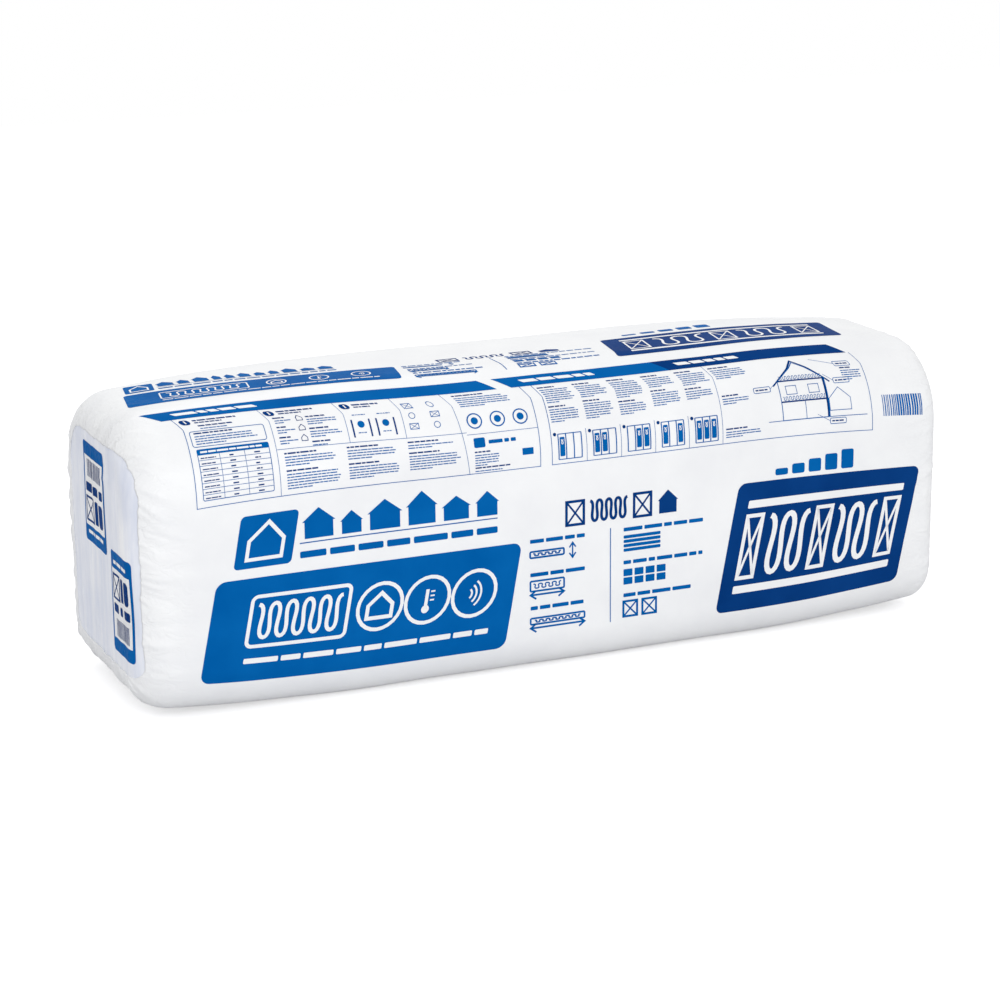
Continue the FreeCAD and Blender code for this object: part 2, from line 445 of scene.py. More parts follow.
def make_sleeve(material):
    """The printed film: a fine grid at each end, a coarser one between, and hems at both edges."""
    columns = END_COLUMNS + 1
    body_s = np.linspace(-BODY_REACH, BODY_REACH, BODY_ROWS + 2)[1:-1, None]
    body_v = np.linspace(SEAM_V, SEAM_V + GIRTH, BODY_COLUMNS + 1)[None, :]
    body_s, body_v = np.broadcast_arrays(body_s, body_v)
    points = [film_point(body_s, body_v, 0.0).reshape(-1, 3)]
    uvs = [film_uv(body_s, body_v).reshape(-1, 2)]
    faces = grid_faces(BODY_ROWS, BODY_COLUMNS + 1)
    for side in (-1, 1):
        first = sum(len(block) for block in points)
        s, v = end_rows(side)
        block = film_point(s, v, 0.0)
        hems = hem(side, s[-1], v[-1], block[-1])
        block = np.concatenate([block, hems])
        end_uv = film_uv(s, v)
        hem_uv = np.stack([end_uv[-1] + [side * 0.001, 0], end_uv[-1] + [side * 0.002, 0]])
        points.append(block.reshape(-1, 3))
        uvs.append(np.concatenate([end_uv, hem_uv]).reshape(-1, 2))
        end_faces = grid_faces(END_ROWS + 2, columns, first)
        start = 0 if side < 0 else (BODY_ROWS - 1) * (BODY_COLUMNS + 1)
        joins = []
        for j in range(BODY_COLUMNS):
            fine = first + 2 * j
            joins.append([start + j, fine, fine + 1, fine + 2, start + j + 1])
        if side < 0:
            end_faces = [face[::-1] for face in end_faces]
            joins = [face[::-1] for face in joins]
        faces += end_faces + joins
    points, uvs = np.concatenate(points), np.concatenate(uvs)
    sleeve = made_piece("film_skin", points, faces, uvs, material)
    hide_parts("film_sleeve")
    return sleeve


def corner_rows(radius, step):
    """How far the rows of a rounded corner lie from its side."""
    turns = np.linspace(0, math.pi / 2, max(7, math.ceil(1.6 * radius / step) + 1))
    return radius * (1 - np.cos(turns))


def rounded_rows(left, right, low, high, low_radius, high_radius, step):
    """Rows (u, w) that fill a rounded rectangle."""
    rows_low = low + corner_rows(low_radius, step)
    rows_high = high - corner_rows(high_radius, step)[::-1]
    between = max(1, math.ceil((rows_high[0] - rows_low[-1]) / step))
    middle = np.linspace(rows_low[-1], rows_high[0], between + 1)
    w = np.unique(np.round(np.concatenate([rows_low, middle, rows_high]), 7))
    inset = np.zeros(w.shape)
    for radius, near in ((low_radius, w - low), (high_radius, high - w)):
        if radius > 0:
            depth = np.clip(radius - near, 0, radius)
            inset = np.maximum(inset, radius - np.sqrt(radius ** 2 - depth ** 2))
    columns = max(2, math.ceil((right - left) / step) + 1)
    share = np.linspace(0, 1, columns)[None, :]
    start, end = (left + inset)[:, None], (right - inset)[:, None]
    u = start + (end - start) * share
    return u, np.broadcast_to(w[:, None], u.shape)


def make_end_film(side, material):
    """The plain film across one end, reaching under the sleeve's edge."""
    front, low = OPENING[0] - PANEL_OVERLAP, OPENING[2] - PANEL_OVERLAP
    back, high = OPENING[1] + PANEL_OVERLAP, OPENING[3] + PANEL_OVERLAP
    radii = (OPENING_LOW_RADIUS + PANEL_OVERLAP, OPENING_HIGH_RADIUS + PANEL_OVERLAP)
    y, z = rounded_rows(front, back, low, high, *radii, PANEL_STEP)
    y = y[:, ::side]
    points = panel_point(side, y, z, 0.0).reshape(-1, 3)
    uv = np.stack([(y - front) / (back - front), (z - low) / (high - low)], axis=-1)
    end = "left" if side < 0 else "right"
    faces = grid_faces(*y.shape)
    piece = made_piece("end_film_" + end, points, faces, uv.reshape(-1, 2), material)
    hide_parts("end_panel_" + end)
    return piece


# Print

PRINT_STEP = 0.0040
CURVE_STEP = 0.0020
INK_LIFT = 0.00022
OVER_LIFT = 0.00040
MARK_LIFT = 0.00058
PRINT_SHIFT = 0.027                      # how far the front's upper print climbs towards the left end
TOP_SHIFT = 0.046
BLOCK_LEAN = 0.19
STRIP_LEAN = -0.65


def bow(u):
    """How much the print strays towards each end: 1 near the left end's edge, less to the right."""
    left = np.clip(-u - 0.10, 0, None) / 0.45
    right = np.clip(u - 0.10, 0, None) / 0.45
    return left ** 1.6 + 0.5 * right ** 1.6


def on_front(u, w):
    """Print places: u to the reader's right, w up the front face and on over its upper curve."""
    shift = PRINT_SHIFT * smooth_step((w - 0.20) / 0.24) * bow(u)
    return u - 0.5 * np.clip(w - 0.385, 0, None), w + shift


def on_top(u, w):
    return u, w + (TOP_SHIFT + 0.24 * (w - 0.446)) * bow(u)


def on_back(u, w):
    s, v = on_front(u, w)
    return -s, BACK_SUM - v


def leaning(place, lean, level):
    """The same places, sheared like slanted type."""
    return lambda u, w: place(u + lean * (w - level), w)


class Print:
    """One ink, gathered into one mesh. Its shapes are drawn at places (u, w) of a face."""

    def __init__(self, lift):
        self.lift = lift
        self.points = []
        self.uvs = []
        self.faces = []
        self.count = 0

    def patch(self, place, u, w):
        """A grid of points as a piece of ink. place says which face it lies on."""
        if callable(place):
            s, v = place(u, w)
            points = film_point(s, v, self.lift)
            uv = film_uv(s, SEAM_V + (v - SEAM_V) % GIRTH)
        else:
            points = panel_point(place, place * u, w, self.lift)
            uv = np.stack([u + 0.5, w + 0.0], axis=-1)
        self.faces += grid_faces(*u.shape, self.count)
        self.points.append(points.reshape(-1, 3))
        self.uvs.append(uv.reshape(-1, 2))
        self.count += u.size

    def step(self, place):
        return PRINT_STEP if callable(place) else PANEL_STEP

    def block(self, place, box, radius=0.0, step=None):
        """A filled rounded rectangle. box is left, right, low, high."""
        left, right, low, high = box
        step = step or self.step(place)
        radius = min(radius, (right - left) / 2, (high - low) / 2)
        self.patch(place, *rounded_rows(left, right, low, high, radius, radius, step))

    def stroke(self, place, path, width, closed=False):
        """A line of one width along the points of a path."""
        path = np.array(path, float)
        if closed:
            path = np.concatenate([path, path[:1]])
        moved = np.linalg.norm(np.diff(path, axis=0), axis=1) > 1e-6
        path = path[np.concatenate([[True], moved])]
        legs = np.diff(path, axis=0)
        lengths = np.maximum(np.linalg.norm(legs, axis=1), 1e-9)
        units = legs / lengths[:, None]
        before = np.concatenate([units[-1:] if closed else units[:1], units])
        after = np.concatenate([units, units[:1] if closed else units[-1:]])
        sideways = np.stack([-(before + after)[:, 1], (before + after)[:, 0]], axis=1)
        sideways /= np.maximum(np.linalg.norm(sideways, axis=1, keepdims=True), 1e-9)
        square = np.stack([-after[:, 1], after[:, 0]], axis=1)
        sideways /= np.maximum(np.sum(sideways * square, axis=1), 0.4)[:, None]
        points, offsets = [path[0]], [sideways[0]]
        for index, length in enumerate(lengths):
            parts = max(1, math.ceil(length / self.step(place)))
            for part in range(1, parts + 1):
                share = part / parts
                points.append(path[index] * (1 - share) + path[index + 1] * share)
                flat = square[index]
                offsets.append(sideways[index + 1] if part == parts else flat)
        points, offsets = np.array(points), np.array(offsets)
        rows = np.stack([points + offsets * width / 2, points - offsets * width / 2], axis=1)
        self.patch(place, rows[..., 0][:, ::-1].T[::-1], rows[..., 1][:, ::-1].T[::-1])

    def outline(self, place, box, radius, width):
        """A rounded frame of thin line."""
        left, right, low, high = box
        path = []
        centres = [(right - radius, high - radius), (left + radius, high - radius),
                   (left + radius, low + radius), (right - radius, low + radius)]
        for quarter, (u, w) in enumerate(centres):
            for turn in np.linspace(0, math.pi / 2, 7 if radius > 0 else 1):
                angle = quarter * math.pi / 2 + turn
                path.append((u + radius * math.cos(angle), w + radius * math.sin(angle)))
        self.stroke(place, path, width, closed=True)

    def words(self, place, left, right, w, height, random, word=5.0):
        """A row of word-long bars with the gaps of a line of type."""
        u = left
        while u < right - height:
            end = min(u + height * word * random.uniform(0.45, 1.5), right)
            self.block(place, (u, end, w, w + height), height * 0.22)
            u = end + height * 0.55

    def lines(self, place, left, right, top, count, pitch, height, random):
        """A paragraph of greeked lines, the last one short."""
        for index in range(count):
            short = random.uniform(0.02, 0.16) if index < count - 1 else 0.55
            end = right - (right - left) * short
            self.words(place, left, end, top - (index + 1) * pitch, height, random)

    def piece(self, name, material, slot):
        points, uvs = np.concatenate(self.points), np.concatenate(self.uvs)
        return made_piece(name, points, self.faces, uvs, material)


mid = Print(INK_LIFT)
navy = Print(INK_LIFT)
white = Print(OVER_LIFT)
marks = Print(MARK_LIFT)

LINE = 0.0009
THIN = 0.0006
TYPE = 0.0013
PITCH = 0.0033
GROUND = 0.291                           # the lower edge of the ruled frames
SHELF = 0.346
STRIP_LOW = 0.405
STRIP_HIGH = 0.425


def within(box, left, right, low, high):
    """A box inside another, by shares of its width and height."""
    width, tall = box[1] - box[0], box[3] - box[2]
    across, up = (left, right), (low, high)
    return (*(box[0] + share * width for share in across), *(box[2] + share * tall for share in up))


def wool_hatch(ink, place, box, loops, width):
    """The drawing sign for soft insulation: one line looping between two edges."""
    left, right, low, high = box
    reach = (high - low) / 2 - width / 2
    lean = 0.13 * (right - left) / loops
    theta = np.linspace(0, 2 * math.pi * loops, 26 * loops + 1)
    run = np.linspace(left + lean, right - lean, len(theta))
    u = run + lean * np.sin(2 * theta)
    w = (low + high) / 2 + reach * np.cos(theta)
    ink.stroke(place, np.stack([u, w], axis=1), width)


def stud(ink, place, box, width):
    """A sawn timber's end: a box with a cross."""
    left, right, low, high = box
    ink.outline(place, box, 0.0, width)
    ink.stroke(place, [(left, low), (right, high)], width * 0.7)
    ink.stroke(place, [(left, high), (right, low)], width * 0.7)


def house(ink, place, box, width):
    """A plain gabled outline."""
    left, right, low, high = box
    eave = low + 0.52 * (high - low)
    path = [(left, low), (left, eave), ((left + right) / 2, high), (right, eave), (right, low)]
    ink.stroke(place, path, width, closed=True)


def solid_house(ink, place, box):
    """A filled gabled house: its wall, and its roof as rows that narrow to the ridge."""
    left, right, low, high = box
    eave = low + 0.55 * (high - low)
    share = np.linspace(0, 1, 9)[:, None]
    across = np.linspace(0, 1, 9)[None, :]
    overhang = 0.08 * (right - left)
    narrowed = share * ((right - left) / 2 + overhang - 0.0004)
    start, end = left - overhang + narrowed, right + overhang - narrowed
    u = start + (end - start) * across
    ink.patch(place, u, eave + (high - eave) * np.broadcast_to(share, u.shape))
    ink.block(place, (left, right, low, eave + 0.0002))


def around(u, w, radius):
    """The square box round a centre."""
    return (u - radius, u + radius, w - radius, w + radius)


def ring(ink, place, u, w, radius, width):
    ink.outline(place, around(u, w, radius), radius, width)


def disc(ink, place, u, w, radius):
    ink.block(place, around(u, w, radius), radius, CURVE_STEP)


def arrow(ink, place, start, end, width):
    """A double-headed dimension arrow."""
    start, end = np.array(start), np.array(end)
    along = (end - start) / np.linalg.norm(end - start)
    beside = np.array([-along[1], along[0]])
    ink.stroke(place, [start, end], width)
    for tip, back in ((start, along), (end, -along)):
        barbs = [tip + width * 3.2 * (back + 0.7 * side * beside) for side in (-1, 1)]
        ink.stroke(place, [barbs[0], tip, barbs[1]], width)


def thermometer(ink, place, u, w, size):
    disc(ink, place, u, w - 0.30 * size, 0.13 * size)
    ink.stroke(place, [(u, w - 0.3 * size), (u, w + 0.34 * size)], 0.11 * size)
    for step in (-0.02, 0.12, 0.26):
        tick = [(u + reach * size, w + step * size) for reach in (0.12, 0.26)]
        ink.stroke(place, tick, 0.05 * size)


def sound_waves(ink, place, u, w, size):
    turns = np.linspace(-0.9, 0.9, 9)
    for radius in (0.18, 0.34, 0.50):
        across = u + size * (radius * np.cos(turns) - 0.26)
        path = np.stack([across, w + radius * size * np.sin(turns)], axis=1)
        ink.stroke(place, path, 0.065 * size)


def name_block(place, box, seed):
    """The large mid-blue block: a batt's sign, three pictograms in rings, and a greeked line."""
    random = seeded(seed)
    tall = box[3] - box[2]
    place = leaning(place, BLOCK_LEAN, (box[2] + box[3]) / 2)
    mid.block(place, box, 0.09 * tall)
    sign = within(box, 0.125, 0.440, 0.335, 0.815)
    white.outline(place, sign, 0.05 * tall, 0.034 * tall)
    wool_hatch(white, place, within(sign, 0.05, 0.95, 0.13, 0.87), 5, 0.036 * tall)
    w = box[2] + 0.575 * tall
    radius = 0.215 * tall
    centres = [box[0] + (0.545 + 0.158 * index) * (box[1] - box[0]) for index in range(3)]
    for u in centres:
        ring(white, place, u, w, radius, 0.034 * tall)
    gable = (-0.55 * radius, 0.55 * radius, -0.48 * radius, 0.58 * radius)
    home = [base + reach for base, reach in zip((centres[0], centres[0], w, w), gable)]
    house(white, place, home, 0.036 * tall)
    thermometer(white, place, centres[1] - 0.05 * radius, w, 1.35 * radius)
    sound_waves(white, place, centres[2], w, 1.35 * radius)
    row = within(box, 0.125, 0.930, 0.170, 0.215)
    white.words(place, *row[:3], 0.050 * tall, random, 4.5)


def wall_block(place, box):
    """The navy block: a stud wall in plan, with wool between its timbers."""
    tall = box[3] - box[2]
    place = leaning(place, BLOCK_LEAN, (box[2] + box[3]) / 2)
    navy.block(place, box, 0.06 * tall)
    for low, high in ((0.800, 0.860), (0.140, 0.200)):
        white.block(place, within(box, 0.070, 0.930, low, high), 0.010 * tall)
    for left in (0.075, 0.455, 0.835):
        stud(white, place, within(box, left + 0.004, left + 0.086, 0.260, 0.740), 0.030 * tall)
    for left, right in ((0.190, 0.435), (0.565, 0.810)):
        wool_hatch(white, place, within(box, left, right, 0.255, 0.745), 2, 0.042 * tall)


def title_rows(place, box, seed):
    """A plain roof sign, a row of house silhouettes over a ground line, and a greeked line."""
    random = seeded(seed)
    left, right, low, high = box
    tall = high - low
    sign = (left, left + 1.12 * tall, low, high)
    slanted = leaning(place, BLOCK_LEAN, low)
    mid.block(slanted, sign, 0.09 * tall)
    house(white, slanted, within(sign, 0.2, 0.8, 0.17, 0.85), 0.07 * tall)
    u = sign[1] + 0.28 * tall
    ground = low + 0.42 * tall
    while u < right - 0.20 * tall:
        width = tall * random.uniform(0.30, 0.62)
        width = min(width, right - u)
        ridge = ground + tall * random.uniform(0.42, 0.66)
        solid_house(mid, place, (u, u + width, ground, ridge))
        u += width + 0.17 * tall
    start, level = sign[1] + 0.18 * tall, ground - 0.07 * tall
    mid.stroke(place, [(start, level), (right, level)], 0.022 * tall)
    mid.words(place, start, right, low + 0.06 * tall, 0.13 * tall, random, 3.6)


def fact_sign(place, kind, box, weight):
    """A small drawing in place of each printed measure."""
    left, right, low, high = box
    tall = high - low
    width = 0.11 * weight * tall
    if kind < 3:
        reach, top, loops = ((0.62, 0.72, 4), (0.62, 0.95, 4), (1.0, 0.72, 7))[kind]
        slab = within(box, 0.0, reach, 0.36, top)
        mid.outline(place, slab, 0.08 * tall, width)
        wool_hatch(mid, place, within(slab, 0.06, 0.94, 0.22, 0.78), loops, 0.7 * width)
        beside, below = left + 0.78 * (right - left), low + 0.14 * tall
        if kind == 0:
            ends = (beside, low + 0.10 * tall), (beside, low + 0.98 * tall)
            arrow(mid, place, *ends, 0.8 * width)
        else:
            arrow(mid, place, (slab[0], below), (slab[1], below), width)
    elif kind == 3:
        for row in range(4):
            bar = within(box, 0.0, 0.70, 0.26 * row, 0.26 * row + 0.19)
            mid.block(place, bar, 0.06 * tall)
    elif kind == 4:
        for cell in range(8):
            across, up = 0.21 * (cell // 2), 0.5 * (cell % 2)
            mid.block(place, within(box, across, across + 0.17, up, up + 0.42), 0.001)
    else:
        for start in (0.0, 0.36):
            stud(mid, place, within(box, start, start + 0.26, 0.05, 0.95), 1.2 * width)


def facts(place, box, seed, weight=1.0):
    """The middle of a face: a heading, a thin divider, and facts on both sides of it."""
    random = seeded(seed)
    tall = weight * (box[3] - box[2])
    head = within(box, 0.20, 0.82, 0.760, 0.930)
    for left, right in ((0.0, 0.155), (0.61, 0.765)):
        stud(navy, place, within(head, left, right, 0.0, 1.0), 0.020 * tall)
    wool_hatch(navy, place, within(head, 0.20, 0.56, 0.0, 1.0), 4, 0.022 * tall)
    solid_house(navy, place, within(head, 0.84, 1.0, 0.0, 1.0))
    mid.block(place, within(box, 0.443, 0.448, 0.0, 0.70))
    for column, (left, right) in enumerate(((0.0, 0.37), (0.52, 0.98))):
        for index in range(3):
            top = 0.695 - 0.245 * index
            end = left + (right - left) * random.uniform(0.78, 1.0)
            row = within(box, left, end, top - 0.034, top)
            mid.words(place, *row[:3], 0.028 * tall, random, 3.6 / weight)
            sign = within(box, left, left + 0.30, top - 0.185, top - 0.060)
            fact_sign(place, 3 * column + index, sign, weight)


def small_heading(place, box):
    """Five bars that rise to the right."""
    for index in range(5):
        top = 0.34 + 0.165 * index
        mid.block(place, within(box, 0.205 * index, 0.205 * index + 0.155, 0.0, top), 0.003)


def header_strip(place, left, middle, right, seed):
    """A frame's heading: a filled strip, mid blue and then navy, with greeked words reversed out."""
    random = seeded(seed)
    place = leaning(place, STRIP_LEAN, STRIP_LOW)
    parts = ((mid, left, middle, 0.028, 0.135), (navy, middle, right, 0.024, 0.120))
    for ink, start, end, first, last in parts:
        if end > start:
            ink.block(place, (start, end, STRIP_LOW, STRIP_HIGH))
            level = STRIP_LOW + 0.0072
            white.words(place, start + first, start + last, level, 0.0056, random, 3.6)


def frame_lines(place, box, dividers):
    """A ruled frame that hangs from its heading strip, with thin lines inside it."""
    left, right, low, high = box
    mid.stroke(place, [(left, high), (left, low), (right, low), (right, high)], LINE)
    for start, end in dividers:
        mid.stroke(place, [start, end], 0.7 * LINE)


def text_columns(place, rows, seed):
    """Paragraphs in several places: each row is left, right, top, groups and a seed of its own."""
    for left, right, top, groups, own in rows:
        text_column(place, left, right, top, groups, seed + own)


def table_grid(place, box, rows, columns, seed):
    """A ruled table with a filled heading row."""
    random = seeded(seed)
    left, right, low, high = box
    mid.outline(place, box, 0.002, LINE)
    step = (high - low) / rows
    mid.block(place, (left, right, high - step, high))

    def at(column):
        return left + (right - left) * (0.30 + 0.70 * column / (columns - 1))

    for row in range(rows - 1):
        level = low + (row + 1) * step
        text_level = level - 0.72 * step
        mid.stroke(place, [(left, level), (right, level)], THIN)
        navy.words(place, left + 0.003, left + 0.023, text_level, TYPE, random)
        for column in range(1, columns):
            u = at(column - 0.62)
            navy.words(place, u, u + 0.0075, text_level, 1.25 * TYPE, random)
    for column in range(1, columns):
        mid.stroke(place, [(at(column - 1), low), (at(column - 1), high - step)], THIN)
    white.words(place, left + 0.004, right - 0.006, high - 0.68 * step, 0.0022, random)


def text_column(place, left, right, top, groups, seed):
    """Paragraphs under small bold headings."""
    random = seeded(seed)
    for count in groups:
        navy.words(place, left, left + 0.58 * (right - left), top - 0.0026, 0.0019, random, 4.0)
        mid.lines(place, left, right, top - 0.0034, count, PITCH, TYPE, random)
        top -= 0.0034 + count * PITCH + 0.0040


def step_head(place, u, w, width, seed):
    """A filled oval that heads a step, with a bold greeked line and a plain one beside it."""
    random = seeded(seed)
    navy.block(place, (u - 0.0065, u + 0.0065, w - 0.0044, w + 0.0044), 0.0044, CURVE_STEP)
    white.block(place, (u - 0.0006, u + 0.0012, w - 0.0026, w + 0.0026))
    start = u + 0.011
    for share, rise, height in ((0.8, 0.0008, 0.0022), (0.5, -0.0030, 0.0018)):
        navy.words(place, start, start + share * width, w + rise, height, random, 3.6)


def wall_picture(place, box, filled):
    """A small picture of a framed wall with batts in some of its three bays."""
    low, high = box[2], box[3]
    bay = (box[1] - box[0]) / 3
    for index in range(4):
        u = box[0] + index * bay
        mid.stroke(place, [(u, low), (u, high)], 0.0016)
    for index in filled:
        left = box[0] + index * bay + 0.0020
        sheet = (left, left + bay - 0.0040, low + 0.12 * (high - low), high - 0.12 * (high - low))
        mid.block(place, sheet, 0.0015, 0.0030)
        wool_hatch(white, place, within(sheet, 0.18, 0.82, 0.62, 0.88), 1, 0.0010)
    for level in (low, high):
        mid.stroke(place, [(box[0], level), (box[1], level)], 0.0012)


def house_section(place, box, seed):
    """A cut through a plain house: roof, floors, walls, and small boxes that name nothing."""
    random = seeded(seed)
    wall = within(box, 0.24, 0.66, 0.0, 0.66)
    left, right, low, high = wall
    middle, ridge = (left + right) / 2, box[3]
    corners = [(left, low), (left, high), (middle, ridge), (right, high), (right, low)]
    mid.stroke(place, corners, 0.0012, closed=True)
    eave = high - 0.006
    roof = [(left - 0.008, eave), (middle, ridge + 0.003), (right + 0.008, eave)]
    navy.stroke(place, roof, 0.0022)
    floor = low + 0.46 * (high - low)
    for level in (high, floor):
        navy.stroke(place, [(left, level), (right, level)], 0.0020)
        wool = (left + 0.003, right - 0.003, level + 0.0014, level + 0.0072)
        wool_hatch(mid, place, wool, 12, 0.0008)
    navy.stroke(place, [(right - 0.0020, low), (right - 0.0020, high)], 0.0028)
    mid.stroke(place, [(middle, low), (middle, floor)], LINE)
    for start in (0.14, 0.62):
        mid.outline(place, within(wall, start, start + 0.22, 0.64, 0.86), 0.0, LINE)
    annex = within(box, 0.66, 0.86, 0.10, 0.48)
    house(mid, place, (annex[0] + 0.001, *annex[1:]), LINE)
    mid.stroke(place, [(box[0] + 0.02, low), (box[1], low)], LINE)
    tags = ((0.02, 0.50, 0.24), (0.80, 0.86, 0.62), (0.74, 0.55, 0.66), (0.66, -0.12, 0.55))
    for across, up, target in tags:
        u, _, w, _ = within(box, across, across, up, up)
        mid.outline(place, (u, u + 0.026, w, w + 0.0075), 0.002, LINE)
        navy.words(place, u + 0.003, u + 0.023, w + 0.0028, 0.0019, random, 3.0)
        near = u + 0.026 if target > across + 0.1 else u
        end = (box[0] + target * (box[1] - box[0]), w + 0.0140)
        mid.stroke(place, [(near, w + 0.0040), end], THIN)


def guide_frame(place, seed):
    """The first ruled frame: steps, a table, pictures and paragraphs."""
    header_strip(place, -0.522, -0.068, -0.068, seed)
    uprights = ((-0.399, GROUND), (-0.300, SHELF), (-0.222, SHELF))
    dividers = [((u, low), (u, STRIP_LOW)) for u, low in uprights]
    dividers.append(((-0.138, GROUND), (-0.152, STRIP_LOW)))
    dividers.append(((-0.399, SHELF), (-0.138, SHELF)))
    dividers.append(((-0.138, 0.343), (-0.036, 0.343)))
    frame_lines(place, (-0.510, -0.036, GROUND, STRIP_LOW), dividers)
    for index, (u, width) in enumerate(((-0.499, 0.070), (-0.390, 0.060), (-0.289, 0.045))):
        step_head(place, u, 0.397, width, seed + 10 + index)
    mid.outline(place, (-0.504, -0.408, 0.3605, 0.3815), 0.003, LINE)
    table_grid(place, (-0.501, -0.408, 0.2990, 0.3570), 9, 3, seed + 3)
    for w in (0.386, 0.372, 0.358):
        house(navy, place, around(-0.359, w, 0.004), LINE)
    text_columns(place, (
        (-0.488, -0.410, 0.391, (1,), 1), (-0.499, -0.413, 0.380, (4,), 2),
        (-0.392, -0.366, 0.390, (2, 2, 2), 4), (-0.350, -0.306, 0.388, (3, 3, 1), 5),
        (-0.390, -0.316, 0.342, (4, 6), 20), (-0.306, -0.232, 0.342, (4, 5), 21),
        (-0.222, -0.148, 0.342, (2, 6), 22), (-0.138, -0.060, 0.402, (5,), 6),
        (-0.130, -0.092, 0.321, (5,), 7), (-0.130, -0.044, 0.300, (1,), 8),
    ), seed)
    bay_pictures(place, seed)
    guide_signs(place, seed)


def bay_pictures(place, seed):
    """Two bays between studs, and a block of small rings and stud ends."""
    for u in (-0.292, -0.258):
        for side in (0.0, 0.024):
            navy.stroke(place, [(u + side, 0.352), (u + side, 0.376)], 0.0022)
        disc(mid, place, u + 0.012, 0.369, 0.0048)
        for start, end, w in ((0.006, 0.018, 0.357), (0.003, 0.021, 0.382)):
            mid.words(place, u + start, u + end, w, TYPE, seeded(seed), 2.0)
    for row in range(3):
        for column in range(2):
            u, w = -0.208 + 0.032 * column, 0.391 - 0.015 * row
            if (row + column) % 2:
                ring(mid, place, u, w, 0.0042, LINE)
            else:
                stud(mid, place, (u - 0.0060, u + 0.0060, w - 0.0038, w + 0.0038), LINE)


def guide_signs(place, seed):
    """Three round signs over a small block and its bold greeked line."""
    for index in range(3):
        u = -0.124 + 0.033 * index
        ring(mid, place, u, 0.361, 0.0100, 0.0018)
        disc(mid, place, u, 0.361, 0.0050)
    mid.block(place, (-0.130, -0.114, 0.325, 0.338), 0.002)
    mid.words(place, -0.109, -0.070, 0.329, 0.0048, seeded(seed), 2.8)
    mid.block(place, (-0.062, -0.046, 0.309, 0.318), 0.0008)


def picture_frame(place, seed):
    """The second ruled frame: paragraphs, pictures of walls, and the house."""
    header_strip(place, -0.047, 0.190, 0.474, seed)
    lefts = [-0.019 + 0.0514 * index for index in range(5)]
    dividers = [((0.238, GROUND), (0.238, STRIP_LOW))]
    dividers += [((u, GROUND), (u, 0.335)) for u in lefts[1:]]
    frame_lines(place, (-0.019, 0.478, GROUND, STRIP_LOW), dividers)
    bays = ((0,), (0, 1), (1, 2), (0, 2), (0, 1, 2))
    groups = ((7, 6), (6, 7), (8, 5), (5, 6), (6, 4))
    for index, left in enumerate(lefts):
        text_column(place, left + 0.004, left + 0.047, 0.401, groups[index], seed + 1 + index)
        disc(navy, place, left + 0.0055, 0.331, 0.0024)
        wall_picture(place, (left + 0.010, left + 0.044, GROUND + 0.006, 0.331), bays[index])
    text_columns(place, (
        (0.243, 0.296, 0.401, (5,), 11), (0.243, 0.288, 0.357, (3,), 12),
        (0.243, 0.300, 0.312, (3,), 13), (0.440, 0.474, 0.381, (5,), 14),
    ), seed)
    house_section(place, (0.290, 0.470, 0.313, 0.394), seed + 15)


def bar_block(place, box, seed):
    """A plain block of upright bars."""
    random = seeded(seed)
    u = box[0]
    while u < box[1]:
        width = random.choice([0.0012, 0.0018, 0.0028])
        mid.block(place, (u, min(u + width, box[1]), box[2], box[3]))
        u += width + random.choice([0.0012, 0.0020])


def long_face(place, seed):
    """All the print of one long face and of the curve above it."""
    title_rows(place, (-0.466, -0.099, 0.203, 0.272), seed)
    name_block(place, (-0.502, -0.077, 0.045, 0.189), seed + 1)
    facts(place, (-0.052, 0.216, 0.060, 0.250), seed + 2)
    wall_block(place, (0.247, 0.543, 0.049, 0.232))
    small_heading(place, (0.321, 0.451, 0.238, 0.266))
    guide_frame(place, seed + 6)
    picture_frame(place, seed + 40)
    bar_block(place, (0.497, 0.564, 0.309, 0.337), seed + 60)


def top_face(place, seed):
    """The print on top, read from the front."""
    name_block(place, (-0.551, -0.191, 0.446, 0.505), seed)
    title_rows(place, (-0.540, -0.260, 0.512, 0.546), seed + 1)
    facts(place, (-0.176, 0.112, 0.444, 0.528), seed + 2, 1.5)
    wall_block(place, (0.129, 0.497, 0.448, 0.542))
    small_heading(place, (0.180, 0.330, 0.553, 0.570))


def end_label(side, box, seed, turned):
    """A printed label on an end film: blue at both ends, a white panel between, greeked marks."""
    random = seeded(seed)

    def part(left, right, low, high):
        if turned:
            low, high = 1 - high, 1 - low
        return within(box, left, right, low, high)

    def line(ink, row, word):
        ink.words(side, *row[:3], row[3] - row[2], random, word)

    mid.block(side, box, 0.006)
    white.block(side, part(0.06, 0.94, 0.135, 0.835), 0.001)
    line(white, part(0.16, 0.84, 0.880, 0.915), 3.0)
    stud(marks, side, part(0.13, 0.46, 0.545, 0.780), 0.0030)
    marks.block(side, part(0.52, 0.64, 0.545, 0.780), 0.002)
    marks.block(side, part(0.69, 0.88, 0.545, 0.780), 0.006)
    line(marks, part(0.12, 0.90, 0.400, 0.490), 1.6)
    foot = part(0.20, 0.84, 0.165, 0.340)
    u = foot[0]
    while u < foot[1]:
        marks.block(side, (u, u + 0.0018, foot[2], foot[3]))
        u += random.uniform(0.0028, 0.0048)


# Materials

def linear(red, green, blue):
    """A colour written as on screen, from 0 to 255, as the linear one that a shader takes."""
    channels = []
    for channel in (red, green, blue):
        share = channel / 255
        channels.append(share / 12.92 if share <= 0.04045 else ((share + 0.055) / 1.055) ** 2.4)
    return (*channels, 1.0)


